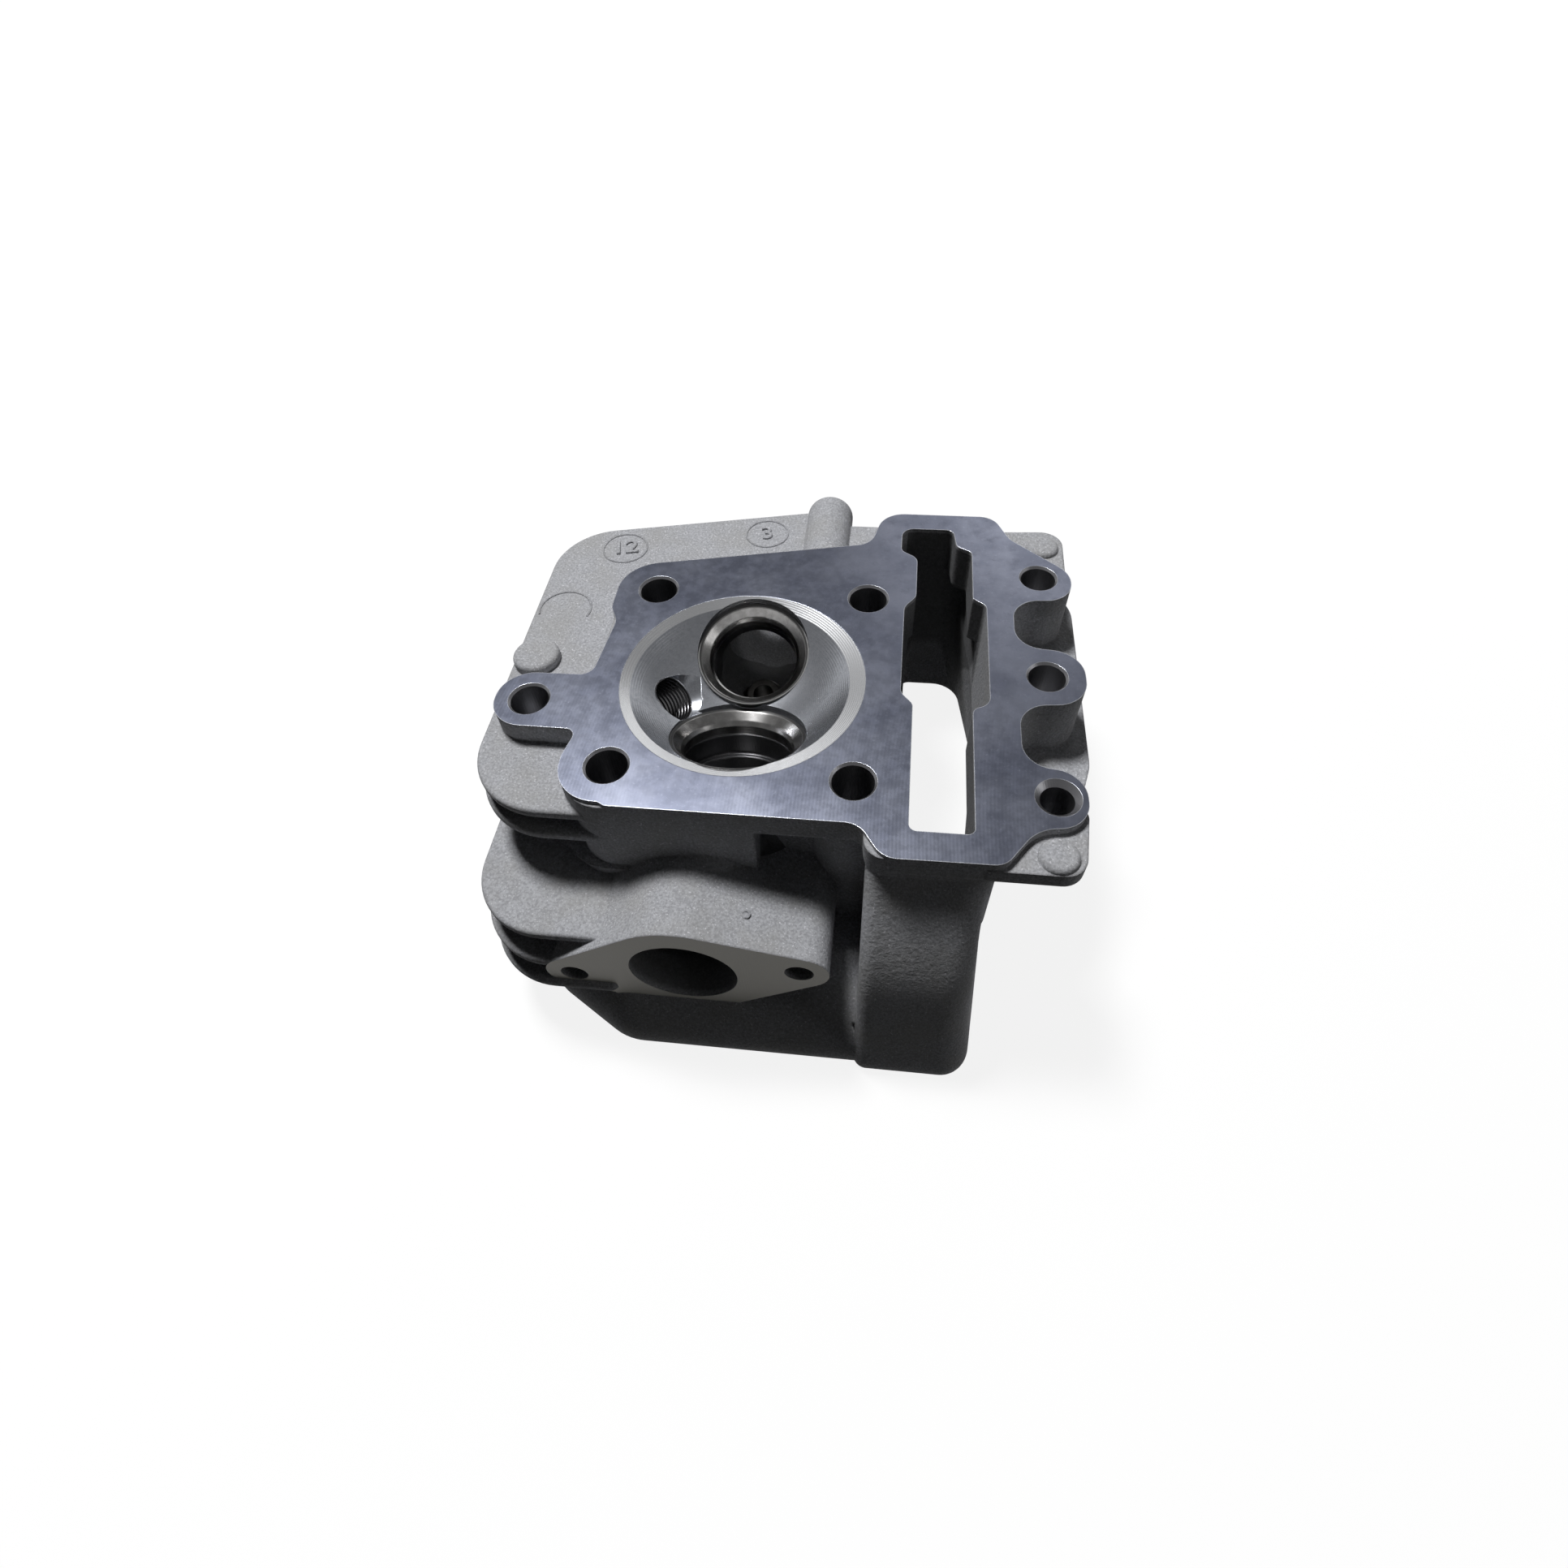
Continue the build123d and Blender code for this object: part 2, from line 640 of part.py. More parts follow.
def head_casting():
    inlet_line = port_path(inlet_seat, inlet_axis, inlet_port, inlet_face_y, -1, inlet_straight)
    exhaust_line = port_path(exhaust_seat, exhaust_axis, exhaust_port, exhaust_face_y, 1, exhaust_straight)
    body = outer_body() + inlet_wall(inlet_line) - [rocker_room()]
    body += inside_bosses(inlet_line, exhaust_line)
    cuts = chain_room() + bolt_cuts() + cam_beds() + plug_cuts()
    cuts += [chamber(), plate(tunnel_corners(), past, -core_depth - 3)]
    cuts += [port_tube(inlet_line, inlet_bend_r), port_tube(exhaust_line, exhaust_port_r)]
    mouth = along(inlet_centre, (0, -1, 0), past)
    cuts.append(rod(mouth, (0, 1, 0), inlet_straight + past, inlet_port_r))
    recess = along(exhaust_centre, (0, 1, 0), past)
    cuts.append(rod(recess, (0, -1, 0), exhaust_gasket_depth + past, exhaust_gasket_r))
    cuts += valve_cuts(inlet_seat, inlet_axis, inlet_seat_r)
    cuts += valve_cuts(exhaust_seat, exhaust_axis, exhaust_seat_r)
    return body - cuts


def valve_seat(seat, axis, seat_r):
    """Pressed-in ring: a flat land, the 45 degree seat, a steeper blend and the throat."""
    throat_r = seat_r - seat_width
    face_out = seat_r - seat_land
    face_in = face_out - seat_face_width
    face_top = 0.35
    face_foot = face_top + seat_face_width
    throat_top = face_foot + (face_in - throat_r) * 1.7
    profile = [
        (seat_r, 0),
        (seat_r, seat_height - 0.8),
        (seat_r - 0.8, seat_height),
        (throat_r, seat_height),
        (throat_r, throat_top),
        (face_in, face_foot),
        (face_out, face_top),
        (face_out + 0.6, 0),
    ]
    return turned(profile, seat, axis)


def valve_guide(seat, axis):
    """Pressed-in guide with a collar on the spring seat and a tapered nose."""
    length = guide_end_from_valve - guide_from_valve
    collar = spring_seat_from_valve - guide_from_valve
    profile = [
        (guide_bore_r, 0),
        (guide_r - 1.2, 0),
        (guide_r, 3.0),
        (guide_r, collar),
        (guide_collar_r, collar),
        (guide_collar_r, collar + guide_collar_height),
        (guide_r, collar + guide_collar_height),
        (guide_r, length - 1.5),
        (guide_r - 1.2, length),
        (guide_bore_r, length),
    ]
    return turned(profile, along(seat, axis, guide_from_valve), axis)


def main():
    os.makedirs("parts", exist_ok=True)
    export_step(head_casting(), "parts/head_casting.step")
    valves = (
        ("inlet", inlet_seat, inlet_axis, inlet_seat_r),
        ("exhaust", exhaust_seat, exhaust_axis, exhaust_seat_r),
    )
    for name, seat, axis, seat_r in valves:
        export_step(valve_seat(seat, axis, seat_r), f"parts/{name}_valve_seat.step")
        export_step(valve_guide(seat, axis), f"parts/{name}_valve_guide.step")


main()
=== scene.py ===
import math
import bpy
from mathutils import Matrix, Vector


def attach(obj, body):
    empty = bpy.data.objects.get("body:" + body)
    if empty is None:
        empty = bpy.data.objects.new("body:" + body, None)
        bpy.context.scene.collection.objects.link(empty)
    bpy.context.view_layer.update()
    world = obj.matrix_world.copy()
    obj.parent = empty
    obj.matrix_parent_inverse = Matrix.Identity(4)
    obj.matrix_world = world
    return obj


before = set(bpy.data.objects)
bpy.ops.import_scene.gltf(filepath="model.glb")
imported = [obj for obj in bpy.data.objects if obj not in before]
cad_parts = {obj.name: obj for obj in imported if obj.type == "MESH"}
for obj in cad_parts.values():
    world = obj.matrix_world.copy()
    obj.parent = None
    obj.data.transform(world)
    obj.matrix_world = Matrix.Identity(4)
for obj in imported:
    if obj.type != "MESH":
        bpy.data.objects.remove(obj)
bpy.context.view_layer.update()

# Lengths are in millimetres where a name ends in _mm, and metres elsewhere. The gasket face is z = 0.
MM = 0.001
floor_z_mm = -60.0

# Places on the casting that its finish depends on
stud_mm = (24.65, 26.45)
stud_hole_r_mm = 4.25
chamber_mm = (-0.8, -0.9)
chamber_r_mm = 26.5
dome_mm = (-1.6, -0.3)
dome_r_mm = 23.8
plug_mm = (-15.3, 0.2, -7.5)
plug_slope = 38.0
plug_thread_pitch_mm = 1.0
inlet_seat_mm = (-0.8, -11.5, -6.7)
inlet_tilt = 24.0
exhaust_seat_mm = (-0.8, 13.5, -6.5)
exhaust_tilt = 19.0
inlet_face_mm = -54.5
inlet_port_mm = (-8.4, -33.3)
exhaust_face_mm = 58.0
exhaust_recess_mm = 55.0
cover_face_mm = -60.0
plate_top_mm = -5.2
port_pip_mm = (4.9, -47.0, -19.3)

# Cast marks on the top plate: place, ring size, arc in degrees and number
plate_marks = (
    ((-38.4, 47.4), 5.6, (0, 360), "12"),
    ((-2.7, 55.4), 5.3, (0, 360), "3"),
    ((-47.9, 23.7), 6.2, (-20, 200), ""),
)
mark_rise_mm = 0.28
mark_edge_mm = 0.12
number_share = 1.25
number_turn = 12.0
pip_ring_mm = (0.8, 0.25)

# Bolt holes with a turned wall: x, y and radius
bolt_holes_mm = ((-45.5, -10.0, 4.05), (63.6, 4.4, 3.9), (63.6, 36.1, 3.9), (63.6, -27.2, 3.3))

# Linear colours of the finishes
skin_dark = (0.31, 0.314, 0.332, 1)
skin_light = (0.47, 0.478, 0.505, 1)
skin_warm = (0.33, 0.325, 0.31, 1)
skin_speck = (0.80, 0.80, 0.84, 1)
# Painted shade for the skin inside the chain tunnel and the ports
skin_painted_shade = (0.06, 0.06, 0.06, 1)
milled_dark = (0.138, 0.150, 0.196, 1)
milled_light = (0.200, 0.214, 0.268, 1)
milled_stain = (0.10, 0.108, 0.145, 1)
milled_bright = (0.34, 0.36, 0.43, 1)
chamber_light = (0.44, 0.455, 0.49, 1)
chamber_dark = (0.36, 0.375, 0.41, 1)
squish_white = (0.80, 0.81, 0.83, 1)
flange_grey = (0.17, 0.165, 0.15, 1)
drilled_grey = (0.26, 0.26, 0.275, 1)
shaded_grey = (0.10, 0.10, 0.105, 1)
burr_white = (0.80, 0.82, 0.86, 1)
seat_steel = ((0.30, 0.295, 0.29, 1), (0.40, 0.395, 0.39, 1))
guide_iron = ((0.12, 0.115, 0.11, 1), (0.18, 0.175, 0.165, 1))
land_grey = (0.08, 0.08, 0.08, 1)
white = (1, 1, 1, 1)

# The centre that the cutter's arcs on the gasket face go round
cutter_centre_mm = (240.0, -35.0, 0.0)

# Lamps: name, place, what each points at, size and watts
lamps = (
    ("key_overhead", (-0.24, 0.25, 0.90), (0, 0, -0.02), (0.2, 0.2), 9.2),
    ("right_fill", (0.88, -0.10, 0.28), (0, 0, -0.03), (0.4, 0.4), 0.6),
    ("rear_panel", (0.20, 0.78, 0.50), (0, 0.02, -0.02), (0.36, 0.18), 0.5),
)


def new_material(name):
    material = bpy.data.materials.new(name)
    material.use_nodes = True
    tree = material.node_tree
    tree.nodes.clear()
    return material, tree


class Graph:
    """Small helper that adds shader nodes to one tree and wires them."""

    def __init__(self, tree):
        self.tree = tree

    def put(self, socket, value):
        if isinstance(value, bpy.types.NodeSocket):
            self.tree.links.new(value, socket)
        elif value is not None:
            socket.default_value = value

    def node(self, kind, settings=None, **inputs):
        made = self.tree.nodes.new(kind)
        for key, value in (settings or {}).items():
            setattr(made, key, value)
        for key, value in inputs.items():
            self.put(made.inputs[key.replace("_", " ")], value)
        return made

    def math(self, operation, first, second=None):
        made = self.tree.nodes.new("ShaderNodeMath")
        made.operation = operation
        for socket, value in zip(made.inputs, (first, second)):
            self.put(socket, value)
        return made.outputs[0]

    def vector(self, operation, first, second=None, scale=None):
        made = self.tree.nodes.new("ShaderNodeVectorMath")
        made.operation = operation
        self.put(made.inputs[0], first)
        self.put(made.inputs[1], second)
        self.put(made.inputs[3], scale)
        return made.outputs[1 if operation in ("LENGTH", "DOT_PRODUCT", "DISTANCE") else 0]

    def position(self):
        """Place on the object in millimetres."""
        coordinates = self.node("ShaderNodeTexCoord")
        return self.vector("SCALE", coordinates.outputs["Object"], scale=1 / MM)

    def split(self, vector):
        return self.node("ShaderNodeSeparateXYZ", Vector=vector).outputs

    def ramp(self, value, low, high, to_low=0.0, to_high=1.0):
        """Smooth step from to_low at low up to to_high at high."""
        made = self.node(
            "ShaderNodeMapRange",
            {"interpolation_type": "SMOOTHSTEP"},
            Value=value,
            From_Min=low,
            From_Max=high,
            To_Min=to_low,
            To_Max=to_high,
        )
        return made.outputs[0]

    def noise(self, vector, scale, detail=3.0, rough=0.55):
        made = self.node(
            "ShaderNodeTexNoise",
            {"noise_dimensions": "3D"},
            Vector=vector,
            Scale=scale,
            Detail=detail,
            Roughness=rough,
        )
        return made.outputs["Fac"]

    def blend(self, factor, first, second):
        """Blend of two colours, or of two numbers."""
        is_colour = isinstance(first, tuple) or getattr(first, "type", "") == "RGBA"
        made = self.tree.nodes.new("ShaderNodeMix")
        made.data_type = "RGBA" if is_colour else "FLOAT"
        first_in, second_in, result_out = (6, 7, 2) if is_colour else (2, 3, 0)
        self.put(made.inputs[0], factor)
        self.put(made.inputs[first_in], first)
        self.put(made.inputs[second_in], second)
        return made.outputs[result_out]

    def near(self, value, target, reach):
        """1 where a number lies within reach of a target."""
        gap = self.math("ABSOLUTE", self.math("SUBTRACT", value, target))
        return self.ramp(gap, reach, 0.8 * reach)

    def within(self, point, centre, radius, soft=0.05, keep=(1, 1, 0)):
        """1 inside a round column along the axis that keep sets to 0."""
        flat = self.vector("MULTIPLY", point, keep)
        reach = self.vector("DISTANCE", flat, [c * k for c, k in zip(centre, keep)])
        return self.ramp(reach, radius + soft, radius - soft)

    def from_axis(self, point, start, axis):
        """Distance along an axis from its start, and distance out from it."""
        offset = self.vector("SUBTRACT", point, list(start))
        along = self.vector("DOT_PRODUCT", offset, list(axis))
        out = self.vector("LENGTH", self.vector("CROSS_PRODUCT", offset, list(axis)))
        return along, out

    def all_of(self, *masks):
        result = masks[0]
        for mask in masks[1:]:
            result = self.math("MULTIPLY", result, mask)
        return result

    def any_of(self, *masks):
        result = masks[0]
        for mask in masks[1:]:
            result = self.math("MAXIMUM", result, mask)
        return result


def valve_axis(tilt, side):
    return Vector((0, side * math.sin(math.radians(tilt)), -math.cos(math.radians(tilt))))


valves = (
    (inlet_seat_mm, valve_axis(inlet_tilt, -1)),
    (exhaust_seat_mm, valve_axis(exhaust_tilt, 1)),
)
plug_axis = Vector((-math.cos(math.radians(plug_slope)), 0, -math.sin(math.radians(plug_slope))))


def casting_masks(g, point, normal):
    """Where the casting is milled, turned or drilled, and where shade is painted inside the chain tunnel, the
    ports and the valve bowls. The rest keeps its sand-cast skin.
    """
    x, y, z = g.split(point)
    normal_y, normal_z = g.split(normal)[1:]
    flat_front = g.ramp(normal_y, -0.95, -0.99)
    flat_back = g.ramp(normal_y, 0.95, 0.99)
    deck = g.ramp(z, -0.12, -0.06)
    cover = g.ramp(z, cover_face_mm + 0.1, cover_face_mm + 0.04)
    inlet = g.all_of(g.near(y, inlet_face_mm, 0.1), flat_front, g.ramp(z, -12.0, -14.0))
    at_exhaust = g.any_of(g.near(y, exhaust_face_mm, 0.1), g.near(y, exhaust_recess_mm, 0.1))
    exhaust = g.all_of(flat_back, at_exhaust)
    in_rim = g.within(point, (*chamber_mm, 0), chamber_r_mm + 0.05)
    chamber = g.all_of(in_rim, g.ramp(z, -14.0, -13.0), g.ramp(z, -0.02, -0.08))
    squish = g.all_of(chamber, g.math("SUBTRACT", 1.0, g.within(point, (*dome_mm, 0), dome_r_mm, 0.1)))
    mirrored = g.vector("ABSOLUTE", point)
    holes = [g.within(mirrored, (*stud_mm, 0), stud_hole_r_mm + 0.8)]
    for hole_x, hole_y, hole_r in bolt_holes_mm:
        holes.append(g.within(point, (hole_x, hole_y, 0), hole_r + 1.3))
    upright = g.all_of(g.ramp(g.math("ABSOLUTE", normal_z), 0.99, 0.95), g.ramp(z, -20.0, -18.5))
    along, out = g.from_axis(point, plug_mm, plug_axis)
    plug = g.all_of(g.ramp(out, 8.3, 8.1), g.ramp(along, -6.0, -5.0), g.ramp(along, 17.5, 17.3))
    thread = g.all_of(g.ramp(out, 5.3, 5.1), g.ramp(along, 0.0, 0.4), g.ramp(along, 17.5, 17.3))
    # Painted shade: the inside of the chain tunnel and of the ports, where the skin is darkened
    in_room = g.all_of(g.ramp(x, 33.0, 33.2), g.ramp(x, 51.0, 50.8), g.ramp(z, -0.8, -1.2))
    painted_shade_parts = [g.all_of(in_room, g.ramp(y, -39.0, -38.5), g.ramp(y, 56.5, 56.0))]
    inlet_column = g.within(point, (inlet_port_mm[0], 0, inlet_port_mm[1]), 12.0, keep=(1, 0, 1))
    inlet_length = g.all_of(g.ramp(y, inlet_face_mm, inlet_face_mm + 2), g.ramp(y, -12.0, -13.0))
    painted_shade_parts.append(g.all_of(inlet_column, inlet_length))
    bowls = []
    for seat_mm, axis in valves:
        depth, reach = g.from_axis(point, seat_mm, axis)
        bowl_length = g.all_of(g.ramp(depth, 4.0, 4.2), g.ramp(depth, 15.2, 15.0))
        bowls.append(g.all_of(bowl_length, g.ramp(reach, 13.0, 12.8)))
        port_length = g.all_of(g.ramp(depth, 14.0, 14.2), g.ramp(depth, 38.0, 37.0))
        painted_shade_parts.append(g.all_of(port_length, g.ramp(reach, 16.0, 15.8)))
    return {
        "inside": g.any_of(*painted_shade_parts),
        "bowl": g.any_of(*bowls),
        "deck": deck,
        "faces": g.any_of(cover, inlet, exhaust),
        "drilled": g.all_of(g.any_of(*holes), upright),
        "chamber": g.any_of(chamber, plug),
        "squish": squish,
        "plug": plug,
        "thread": thread,
    }


def casting_material():
    material, tree = new_material("cast_and_milled_aluminium")
    g = Graph(tree)
    point = g.position()
    normal = g.node("ShaderNodeNewGeometry").outputs["Normal"]
    masks = casting_masks(g, point, normal)
    machined = g.any_of(masks["deck"], masks["faces"], masks["drilled"], masks["chamber"])
    x, y = g.split(point)[:2]
    level = g.vector("MULTIPLY", point, (1, 1, 0))

    # Sand-cast skin: fine grain over a slow unevenness, with a few bright specks
    grain = g.noise(point, 1.9, detail=2.0, rough=0.6)
    pebble = g.noise(point, 0.85, detail=2.0, rough=0.5)
    slow = g.noise(point, 0.10, detail=4.0)
    speck = g.ramp(g.noise(point, 2.6, detail=1.0), 0.64, 0.72)
    skin = g.blend(g.ramp(grain, 0.3, 0.7), skin_dark, skin_light)
    skin = g.blend(g.ramp(slow, 0.35, 0.7, 0.0, 0.4), skin, skin_warm)
    skin = g.blend(g.math("MULTIPLY", speck, 0.6), skin, skin_speck)
    skin_height = g.math("ADD", g.math("MULTIPLY", grain, 0.7), g.math("MULTIPLY", pebble, 0.9))

    # Milled gasket face: bluish grey with cloudy stains, fine scratches and faint arcs of the cutter
    cloud = g.noise(point, 0.06, detail=4.0, rough=0.6)
    stain = g.noise(point, 0.35, detail=6.0, rough=0.7)
    fine = g.noise(point, 1.3, detail=3.0, rough=0.7)
    deck_colour = g.blend(g.ramp(cloud, 0.36, 0.64), milled_dark, milled_light)
    deck_colour = g.blend(g.ramp(stain, 0.50, 0.75, 0.0, 0.5), deck_colour, milled_stain)
    deck_colour = g.blend(g.ramp(fine, 0.55, 0.8, 0.0, 0.35), deck_colour, milled_bright)
    arcs = g.vector("DISTANCE", level, cutter_centre_mm)
    arc_lines = g.math("MULTIPLY", g.math("SINE", g.math("MULTIPLY", arcs, 9.0)), 0.3)

    # Turned chamber: rings round the bore axis
    ring_reach = g.vector("DISTANCE", level, (*dome_mm, 0.0))
    ring_lines = g.math("SINE", g.math("MULTIPLY", ring_reach, 14.0))
    chamber_colour = g.blend(g.ramp(fine, 0.4, 0.75), chamber_light, chamber_dark)
    chamber_colour = g.blend(masks["squish"], chamber_colour, squish_white)
    along = g.from_axis(point, plug_mm, plug_axis)[0]
    turns = g.math("MULTIPLY", along, 2 * math.pi / plug_thread_pitch_mm)
    thread_lines = g.math("SINE", turns)
    face_lines = g.math("SINE", g.math("MULTIPLY", g.math("ADD", x, g.math("MULTIPLY", y, 0.4)), 11.0))

    # Painted shade: the skin inside the chain tunnel and the ports is darkened towards near black
    skin = g.blend(g.math("MULTIPLY", masks["inside"], 0.65), skin, skin_painted_shade)
    colour = g.blend(masks["deck"], skin, deck_colour)
    colour = g.blend(masks["faces"], colour, flange_grey)
    colour = g.blend(masks["drilled"], colour, drilled_grey)
    colour = g.blend(masks["chamber"], colour, chamber_colour)
    # Painted shade: the plug thread and the valve bowls take a dark shaded grey
    colour = g.blend(masks["thread"], colour, shaded_grey)
    colour = g.blend(masks["bowl"], colour, shaded_grey)

    # A thin bright burr runs along the rims of the gasket face
    wide = g.node("ShaderNodeBevel", {"samples": 6}, Radius=0.28 * MM)
    turn = g.vector("DOT_PRODUCT", wide.outputs[0], normal)
    burr = g.all_of(g.ramp(turn, 0.985, 0.90), masks["deck"])
    colour = g.blend(g.math("MULTIPLY", burr, 0.8), colour, burr_white)

    rough = g.blend(masks["deck"], 0.66, g.blend(g.ramp(stain, 0.4, 0.7), 0.29, 0.36))
    rough = g.blend(masks["faces"], rough, 0.46)
    rough = g.blend(masks["drilled"], rough, 0.34)
    rough = g.blend(masks["chamber"], rough, 0.27)
    rough = g.blend(masks["bowl"], rough, 0.3)
    metal = g.math("MULTIPLY", machined, 0.92)
    metal = g.blend(masks["faces"], metal, 0.45)
    metal = g.blend(masks["bowl"], metal, 0.9)

    rounding = g.blend(machined, 0.9, 0.12)
    bevel = g.node("ShaderNodeBevel", {"samples": 6}, Radius=g.math("MULTIPLY", rounding, MM))
    lines = g.blend(masks["deck"], face_lines, arc_lines)
    lines = g.blend(masks["chamber"], lines, ring_lines)
    lines = g.math("MULTIPLY", lines, 0.03)
    lines = g.blend(masks["plug"], lines, 0.0)
    lines = g.blend(masks["thread"], lines, g.math("MULTIPLY", thread_lines, 0.9))
    height = g.blend(g.any_of(machined, masks["bowl"]), skin_height, lines)
    bump = g.node("ShaderNodeBump", Strength=0.85, Distance=0.16 * MM, Height=height, Normal=bevel.outputs[0])

    shader = g.node(
        "ShaderNodeBsdfPrincipled",
        Base_Color=colour,
        Roughness=rough,
        Metallic=metal,
        Normal=bump.outputs[0],
    )
    shader.inputs["Specular IOR Level"].default_value = 0.08
    g.node("ShaderNodeOutputMaterial", Surface=shader.outputs[0])
    return material


def turned_material(name, colours, roughness, seat_mm, axis, lines_per_mm):
    """Steel or iron turned about a valve axis, with fine rings round it."""
    material, tree = new_material(name)
    g = Graph(tree)
    point = g.position()
    along, out = g.from_axis(point, seat_mm, axis)
    rings = g.math("SINE", g.math("MULTIPLY", g.math("ADD", along, out), lines_per_mm * 2 * math.pi))
    cloud = g.noise(point, 0.5, detail=4.0)
    colour = g.blend(g.ramp(cloud, 0.35, 0.7), colours[0], colours[1])
    land = g.ramp(along, 0.3, 0.2)
    colour = g.blend(land, colour, land_grey)
    bevel = g.node("ShaderNodeBevel", {"samples": 6}, Radius=0.4 * MM)
    bump = g.node("ShaderNodeBump", Strength=0.2, Distance=0.02 * MM, Height=rings, Normal=bevel.outputs[0])
    shader = g.node("ShaderNodeBsdfPrincipled", Base_Color=colour, Normal=bump.outputs[0])
    shader.inputs["Metallic"].default_value = 1.0
    g.put(shader.inputs["Roughness"], g.blend(land, roughness, 0.5))
    g.node("ShaderNodeOutputMaterial", Surface=shader.outputs[0])
    return material


def give(node, material):
    """Puts one material on every slot of a CAD node."""
    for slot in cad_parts[node].material_slots:
        slot.material = material


def dress_nodes():
    casting = casting_material()
    give("head_casting", casting)
    inlet, exhaust = valves
    give("inlet_valve_seat", turned_material("inlet_seat_steel", seat_steel, 0.22, *inlet, 2.5))
    give("exhaust_valve_seat", turned_material("exhaust_seat_steel", seat_steel, 0.22, *exhaust, 2.5))
    give("inlet_valve_guide", turned_material("inlet_guide_iron", guide_iron, 0.4, *inlet, 2.0))
    give("exhaust_valve_guide", turned_material("exhaust_guide_iron", guide_iron, 0.4, *exhaust, 2.0))
    return casting


def add_piece(name, points_mm, faces, material):
    mesh = bpy.data.meshes.new(name)
    mesh.from_pydata([tuple(c * MM for c in point) for point in points_mm], [], faces)
    mesh.materials.append(material)
    mesh.validate()
    piece = bpy.data.objects.new(name, mesh)
    bpy.context.collection.objects.link(piece)
    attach(piece, "root")
    return piece


def ring_bead(name, centre_mm, radius, tube, arc, material):
    """A raised bead that follows a circle or a part of it on a level face."""
    around, across = 72, 10
    start, end = arc
    whole = end - start == 360
    stations = around if whole else around + 1
    points = []
    for i in range(stations):
        turn = math.radians(start + (end - start) * i / around)
        for j in range(across):
            roll = 2 * math.pi * j / across
            reach = radius + tube * math.cos(roll)
            offset = (reach * math.cos(turn), reach * math.sin(turn), tube * math.sin(roll))
            points.append(tuple(c + d for c, d in zip(centre_mm, offset)))
    faces = []
    for i in range(around):
        here, there = i * across, ((i + 1) % stations) * across
        for j in range(across):
            k = (j + 1) % across
            faces.append((here + j, there + j, there + k, here + k))
    if not whole:
        faces.append(tuple(range(across - 1, -1, -1)))
        faces.append(tuple(range(around * across, (around + 1) * across)))
    piece = add_piece(name, points, faces, material)
    for polygon in piece.data.polygons:
        polygon.use_smooth = True


def raised_number(name, text, centre_mm, height_mm, turn, material):
    """A cast number that stands a little above a level face."""
    curve = bpy.data.curves.new(name, "FONT")
    curve.body = text
    curve.size = height_mm
    curve.extrude = mark_rise_mm
    curve.bevel_depth = mark_edge_mm
    curve.align_x = "CENTER"
    curve.align_y = "CENTER"
    holder = bpy.data.objects.new(name + "_curve", curve)
    bpy.context.collection.objects.link(holder)
    holder.matrix_world = Matrix.Translation(centre_mm) @ Matrix.Rotation(math.radians(turn), 4, "Z")
    bpy.context.view_layer.update()
    solid = holder.evaluated_get(bpy.context.evaluated_depsgraph_get()).to_mesh()
    points = [tuple(holder.matrix_world @ vertex.co) for vertex in solid.vertices]
    faces = [tuple(polygon.vertices) for polygon in solid.polygons]
    bpy.data.objects.remove(holder)
    add_piece(name, points, faces, material)


def cast_marks(material):
    for number, (place, radius, arc, text) in enumerate(plate_marks, start=1):
        centre = (*place, plate_top_mm)
        ring_bead(f"plate_mark_ring_{number}", centre, radius, mark_rise_mm, arc, material)
        if text:
            name = f"plate_mark_number_{number}"
            raised_number(name, text, centre, number_share * radius, number_turn, material)
    ring_bead("port_pip", port_pip_mm, *pip_ring_mm, (0, 360), material)


def shown_white(g):
    """1 for what the camera, a mirror or glass sees, and 0 for the light that falls on the object."""
    path = g.node("ShaderNodeLightPath").outputs
    return g.any_of(path["Is Camera Ray"], path["Is Glossy Ray"], path["Is Transmission Ray"])


def make_floor():
    size = 8.0
    mesh = bpy.data.meshes.new("floor")
    corners = [(-size, -size, 0), (size, -size, 0), (size, size, 0), (-size, size, 0)]
    mesh.from_pydata(corners, [], [(0, 1, 2, 3)])
    floor = bpy.data.objects.new("floor", mesh)
    bpy.context.collection.objects.link(floor)
    floor.location = (0, 0, floor_z_mm * MM)
    material, tree = new_material("floor_white")
    g = Graph(tree)
    seen = shown_white(g)
    colour = g.blend(seen, (0.02, 0.02, 0.02, 1), (0.16, 0.16, 0.16, 1))
    lit = g.node("ShaderNodeBsdfDiffuse", Color=colour)
    away = g.vector("LENGTH", g.node("ShaderNodeTexCoord").outputs["Object"])
    brightness = g.ramp(away, 0.15, 0.8, 0.87, 1.0)
    glow = g.node("ShaderNodeEmission", Color=white, Strength=g.math("MULTIPLY", seen, brightness))
    both = g.tree.nodes.new("ShaderNodeAddShader")
    g.put(both.inputs[0], lit.outputs[0])
    g.put(both.inputs[1], glow.outputs[0])
    g.node("ShaderNodeOutputMaterial", Surface=both.outputs[0])
    mesh.materials.append(material)


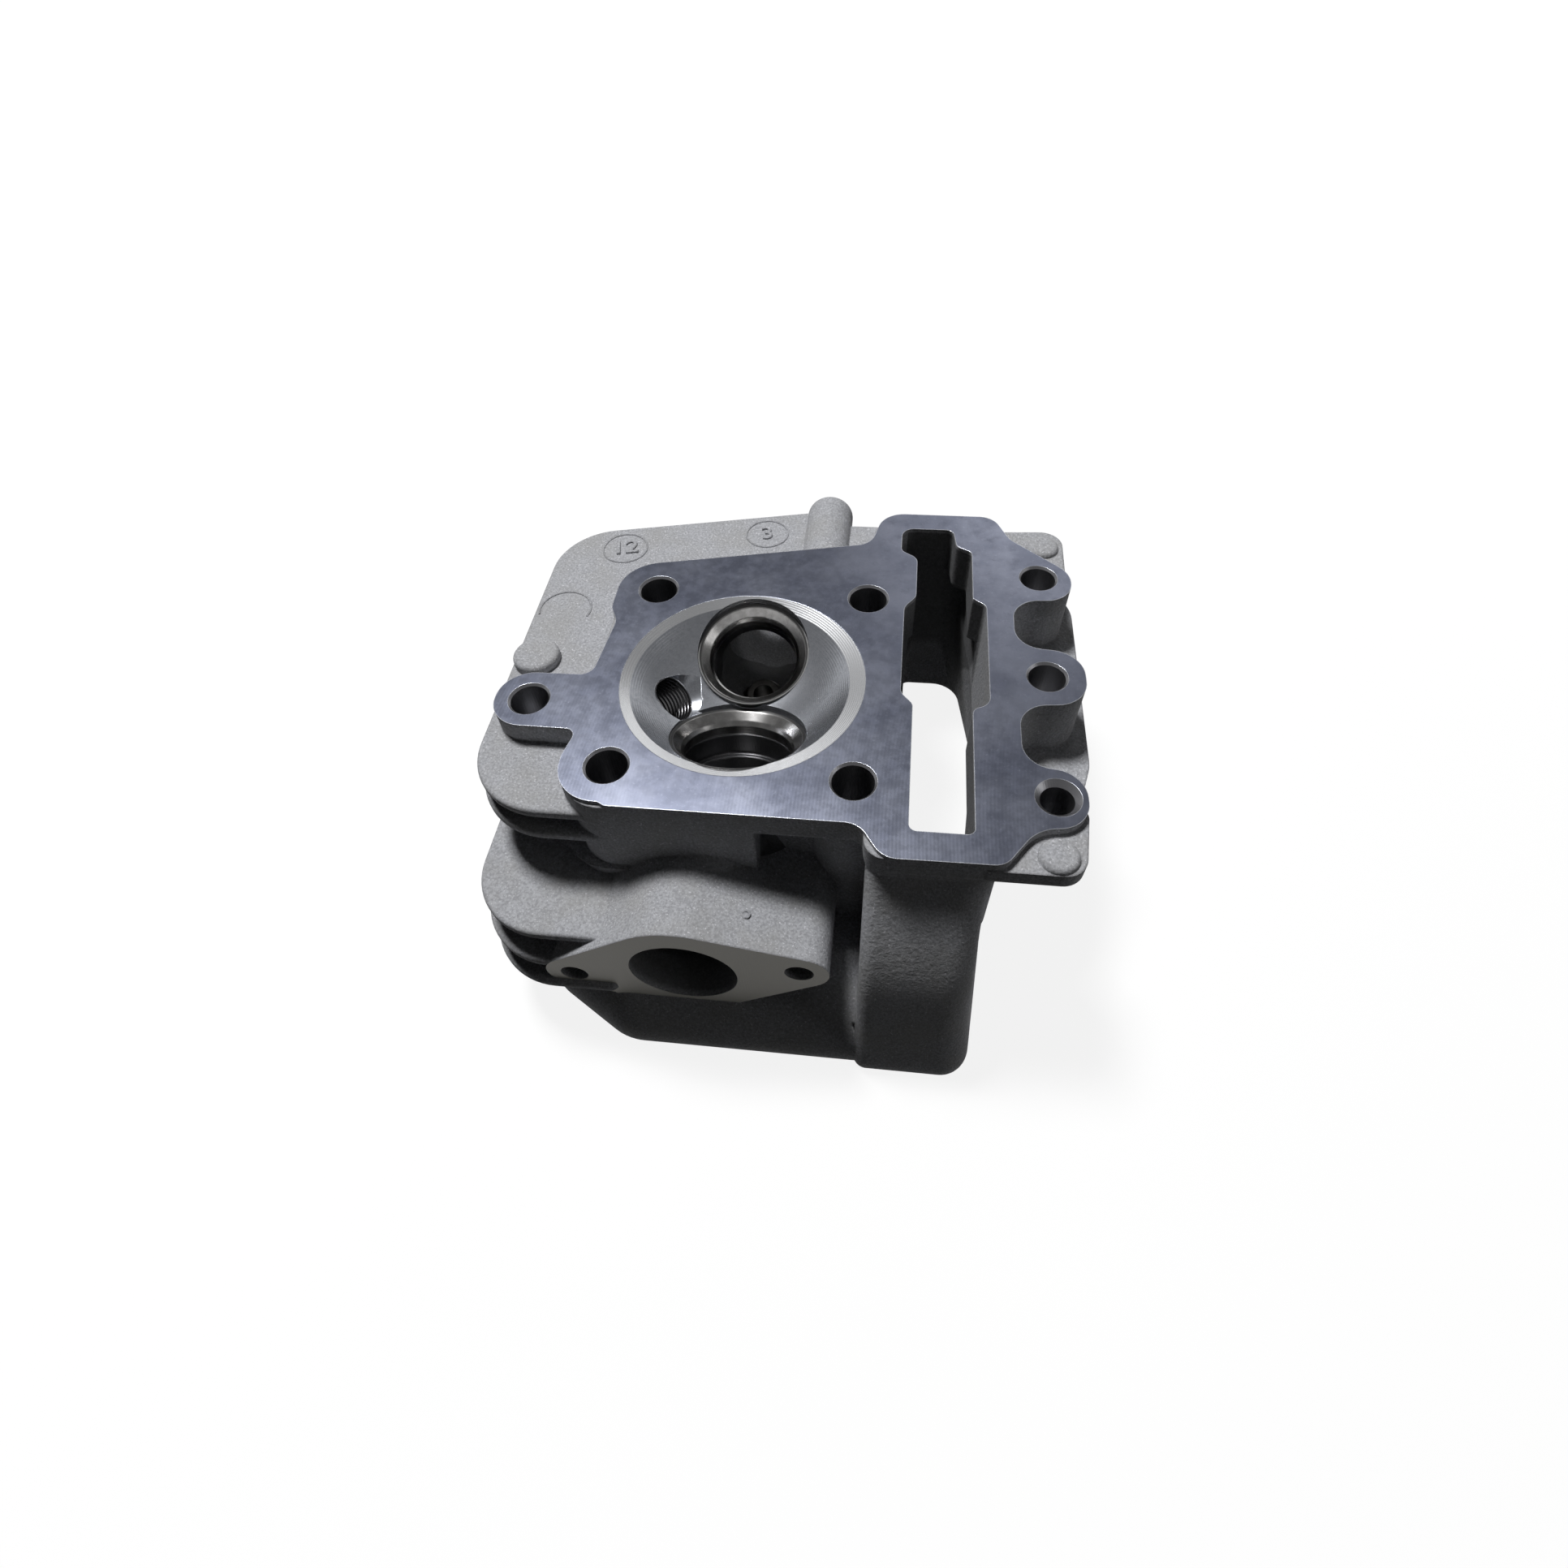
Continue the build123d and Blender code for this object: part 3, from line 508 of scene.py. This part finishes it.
def make_world():
    """White all round to the camera, a dimmer ceiling in reflections and a weak fill."""
    world = bpy.data.worlds.new("studio")
    world.use_nodes = True
    bpy.context.scene.world = world
    tree = world.node_tree
    tree.nodes.clear()
    g = Graph(tree)
    path = g.node("ShaderNodeLightPath").outputs
    mirrored = g.any_of(path["Is Glossy Ray"], path["Is Transmission Ray"])
    up = g.split(g.node("ShaderNodeTexCoord").outputs["Generated"])[2]
    studio = g.ramp(up, 0.12, 0.42, 1.0, 0.20)
    strength = g.blend(mirrored, 0.014, studio)
    strength = g.blend(path["Is Camera Ray"], strength, 1.0)
    background = g.node("ShaderNodeBackground", Color=white, Strength=strength)
    g.node("ShaderNodeOutputWorld", Surface=background.outputs[0])


def area_lamp(name, place, target, size, power):
    data = bpy.data.lights.new(name, "AREA")
    data.shape = "RECTANGLE"
    data.size, data.size_y = size
    data.energy = power
    lamp = bpy.data.objects.new(name, data)
    bpy.context.collection.objects.link(lamp)
    lamp.location = place
    lamp.rotation_euler = (Vector(target) - Vector(place)).to_track_quat("-Z", "Y").to_euler()


def make_camera():
    """Place, turn and lens that the photograph was taken from."""
    lens_px = 1071.67
    picture_px = 1932.0
    centre_px = (972.24, 965.65)
    place_mm = (28.48, -128.65, 134.98)
    yaw, tilt, roll = 9.148, 37.027, -3.590
    data = bpy.data.cameras.new("camera")
    data.sensor_width = 36.0
    data.lens = lens_px / picture_px * data.sensor_width
    data.shift_x = (picture_px / 2 - centre_px[0]) / picture_px
    data.shift_y = (centre_px[1] - picture_px / 2) / picture_px
    data.clip_start = 0.01
    camera = bpy.data.objects.new("camera", data)
    bpy.context.collection.objects.link(camera)
    turn = Matrix.Rotation(math.radians(yaw), 4, "Z") @ Matrix.Rotation(math.radians(tilt), 4, "X")
    turn = turn @ Matrix.Rotation(math.radians(roll), 4, "Z")
    camera.matrix_world = Matrix.Translation(Vector(place_mm) * MM) @ turn
    bpy.context.scene.camera = camera


bpy.context.scene.view_settings.view_transform = "Standard"
make_camera()
make_world()
for lamp_values in lamps:
    area_lamp(*lamp_values)
make_floor()
cast_marks(dress_nodes())
